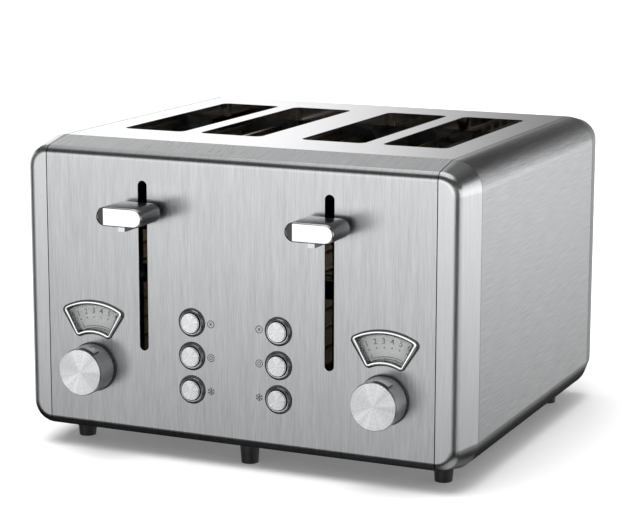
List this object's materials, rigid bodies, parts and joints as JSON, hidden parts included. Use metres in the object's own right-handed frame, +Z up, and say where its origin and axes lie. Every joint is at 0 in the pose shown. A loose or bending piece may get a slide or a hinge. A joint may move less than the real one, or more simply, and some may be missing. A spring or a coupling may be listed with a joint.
{
  "type": "pop up toaster",
  "caption": "Long bodied pop up toaster in brushed steel with paired bread slots, lift levers, browning knobs under curved gauges, push buttons and rear crumb trays.",
  "frame": {"origin": "centre of the whole toaster's footprint, on the surface that it stands on", "axes": "+X to the right seen from the front, +Y from the front face to the rear, +Z up"},
  "size_m": [0.304, 0.311, 0.202],
  "materials": {
    "front_steel": "vertically brushed stainless steel",
    "side_steel": "horizontally brushed stainless steel",
    "top_steel": "polished stainless steel",
    "base_steel": "black painted steel sheet",
    "foot_plastic": "black plastic",
    "screw_steel": "plated steel",
    "chassis_steel": "aluminised steel sheet",
    "mica": "mica board with flat heating ribbon",
    "wire_steel": "plated steel wire",
    "lever_plastic": "metallised handle",
    "knob_metal": "spun metal",
    "knob_black": "black plastic",
    "trim_chrome": "bright plated trim",
    "dial_card": "printed satin plate",
    "lens_clear": "clear cover",
    "needle_brass": "dull brass needle",
    "circuit": "glass fibre circuit board with parts",
    "coil": "wound coil in its bobbin",
    "tray_steel": "aluminised steel sheet"
  },
  "bodies": {
    "housing": {"front_panel": "front_steel", "front_corner_left": "front_steel", "front_corner_right": "front_steel", "side_panel_left": "side_steel", "side_panel_right": "side_steel", "top_plate": "top_steel", "rear_panel": "front_steel", "rear_corner_left": "front_steel", "rear_corner_right": "front_steel", "base_plate": "base_steel", "feet": "foot_plastic", "foot_screws": "screw_steel", "casing_screws": "screw_steel", "cord_gland": "foot_plastic", "chassis_front_plate": "chassis_steel", "chassis_rear_plate": "chassis_steel", "chassis_rear_post": "chassis_steel", "heater_boards_left": "mica", "heater_boards_right": "mica", "guide_rods": "screw_steel", "lift_spring_left": "wire_steel", "lift_spring_right": "wire_steel", "latch_magnets": "coil", "knob_collars": "knob_black", "gauge_bezels": "trim_chrome", "gauge_dials": "dial_card", "gauge_lenses": "lens_clear", "button_rings": "trim_chrome", "potentiometers": "knob_black", "control_board_left": "circuit", "control_board_right": "circuit", "power_board": "circuit"},
    "lift_left": {"carriage_left": "chassis_steel", "lever_handle_left": "lever_plastic", "bread_rack_1": "wire_steel", "bread_rack_2": "wire_steel"},
    "lift_right": {"carriage_right": "chassis_steel", "lever_handle_right": "lever_plastic", "bread_rack_3": "wire_steel", "bread_rack_4": "wire_steel"},
    "knob_left": {"knob_left": "knob_metal", "pointer_left": "needle_brass"},
    "knob_right": {"knob_right": "knob_metal", "pointer_right": "needle_brass"},
    "tray_left": {"crumb_tray_left": "tray_steel"},
    "tray_right": {"crumb_tray_right": "tray_steel"},
    "bread_guide_1a": {"bread_guide_1a": "wire_steel"},
    "bread_guide_1b": {"bread_guide_1b": "wire_steel"},
    "bread_guide_2a": {"bread_guide_2a": "wire_steel"},
    "bread_guide_2b": {"bread_guide_2b": "wire_steel"},
    "bread_guide_3a": {"bread_guide_3a": "wire_steel"},
    "bread_guide_3b": {"bread_guide_3b": "wire_steel"},
    "bread_guide_4a": {"bread_guide_4a": "wire_steel"},
    "bread_guide_4b": {"bread_guide_4b": "wire_steel"},
    "button_left_top": {"button_left_top": "knob_metal"},
    "button_left_middle": {"button_left_middle": "knob_metal"},
    "button_left_bottom": {"button_left_bottom": "knob_metal"},
    "button_right_top": {"button_right_top": "knob_metal"},
    "button_right_middle": {"button_right_middle": "knob_metal"},
    "button_right_bottom": {"button_right_bottom": "knob_metal"}
  },
  "joints": [
    {"name": "lever_left_slide", "type": "slide", "parent": "housing", "child": "lift_left", "axis": [0, 0, 1], "range_m": [-0.078, 0.014], "stiffness_N_per_m": 220, "deforming": ["lift_spring_left"]},
    {"name": "lever_right_slide", "type": "slide", "parent": "housing", "child": "lift_right", "axis": [0, 0, 1], "range_m": [-0.078, 0.014], "stiffness_N_per_m": 220, "deforming": ["lift_spring_right"]},
    {"name": "guide_1a_slide", "type": "slide", "parent": "housing", "child": "bread_guide_1a", "axis": [1, 0, 0], "range_m": [-0.0014, 0.0078]},
    {"name": "guide_1b_slide", "type": "slide", "parent": "housing", "child": "bread_guide_1b", "axis": [-1, 0, 0], "range_m": [-0.0014, 0.0078]},
    {"name": "guide_2a_slide", "type": "slide", "parent": "housing", "child": "bread_guide_2a", "axis": [1, 0, 0], "range_m": [-0.0014, 0.0078]},
    {"name": "guide_2b_slide", "type": "slide", "parent": "housing", "child": "bread_guide_2b", "axis": [-1, 0, 0], "range_m": [-0.0014, 0.0078]},
    {"name": "guide_3a_slide", "type": "slide", "parent": "housing", "child": "bread_guide_3a", "axis": [1, 0, 0], "range_m": [-0.0014, 0.0078]},
    {"name": "guide_3b_slide", "type": "slide", "parent": "housing", "child": "bread_guide_3b", "axis": [-1, 0, 0], "range_m": [-0.0014, 0.0078]},
    {"name": "guide_4a_slide", "type": "slide", "parent": "housing", "child": "bread_guide_4a", "axis": [1, 0, 0], "range_m": [-0.0014, 0.0078]},
    {"name": "guide_4b_slide", "type": "slide", "parent": "housing", "child": "bread_guide_4b", "axis": [-1, 0, 0], "range_m": [-0.0014, 0.0078]},
    {"name": "knob_left_turn", "type": "hinge", "parent": "housing", "child": "knob_left", "pos_m": [-0.1006, -0.1245, 0.0568], "axis": [0, 1, 0], "range_deg": [0, 56]},
    {"name": "knob_right_turn", "type": "hinge", "parent": "housing", "child": "knob_right", "pos_m": [0.1006, -0.1245, 0.0568], "axis": [0, 1, 0], "range_deg": [0, 56]},
    {"name": "button_left_top_press", "type": "slide", "parent": "housing", "child": "button_left_top", "axis": [0, 1, 0], "range_m": [0, 0.002], "stiffness_N_per_m": 400},
    {"name": "button_left_middle_press", "type": "slide", "parent": "housing", "child": "button_left_middle", "axis": [0, 1, 0], "range_m": [0, 0.002], "stiffness_N_per_m": 400},
    {"name": "button_left_bottom_press", "type": "slide", "parent": "housing", "child": "button_left_bottom", "axis": [0, 1, 0], "range_m": [0, 0.002], "stiffness_N_per_m": 400},
    {"name": "button_right_top_press", "type": "slide", "parent": "housing", "child": "button_right_top", "axis": [0, 1, 0], "range_m": [0, 0.002], "stiffness_N_per_m": 400},
    {"name": "button_right_middle_press", "type": "slide", "parent": "housing", "child": "button_right_middle", "axis": [0, 1, 0], "range_m": [0, 0.002], "stiffness_N_per_m": 400},
    {"name": "button_right_bottom_press", "type": "slide", "parent": "housing", "child": "button_right_bottom", "axis": [0, 1, 0], "range_m": [0, 0.002], "stiffness_N_per_m": 400},
    {"name": "tray_left_slide", "type": "slide", "parent": "housing", "child": "tray_left", "axis": [0, 1, 0], "range_m": [0, 0.2]},
    {"name": "tray_right_slide", "type": "slide", "parent": "housing", "child": "tray_right", "axis": [0, 1, 0], "range_m": [0, 0.2]}
  ],
  "couplings": [
    {"joint": "guide_1a_slide", "follows": "lever_left_slide", "ratio": -0.1},
    {"joint": "guide_1b_slide", "follows": "lever_left_slide", "ratio": -0.1},
    {"joint": "guide_2a_slide", "follows": "lever_left_slide", "ratio": -0.1},
    {"joint": "guide_2b_slide", "follows": "lever_left_slide", "ratio": -0.1},
    {"joint": "guide_3a_slide", "follows": "lever_right_slide", "ratio": -0.1},
    {"joint": "guide_3b_slide", "follows": "lever_right_slide", "ratio": -0.1},
    {"joint": "guide_4a_slide", "follows": "lever_right_slide", "ratio": -0.1},
    {"joint": "guide_4b_slide", "follows": "lever_right_slide", "ratio": -0.1}
  ]
}
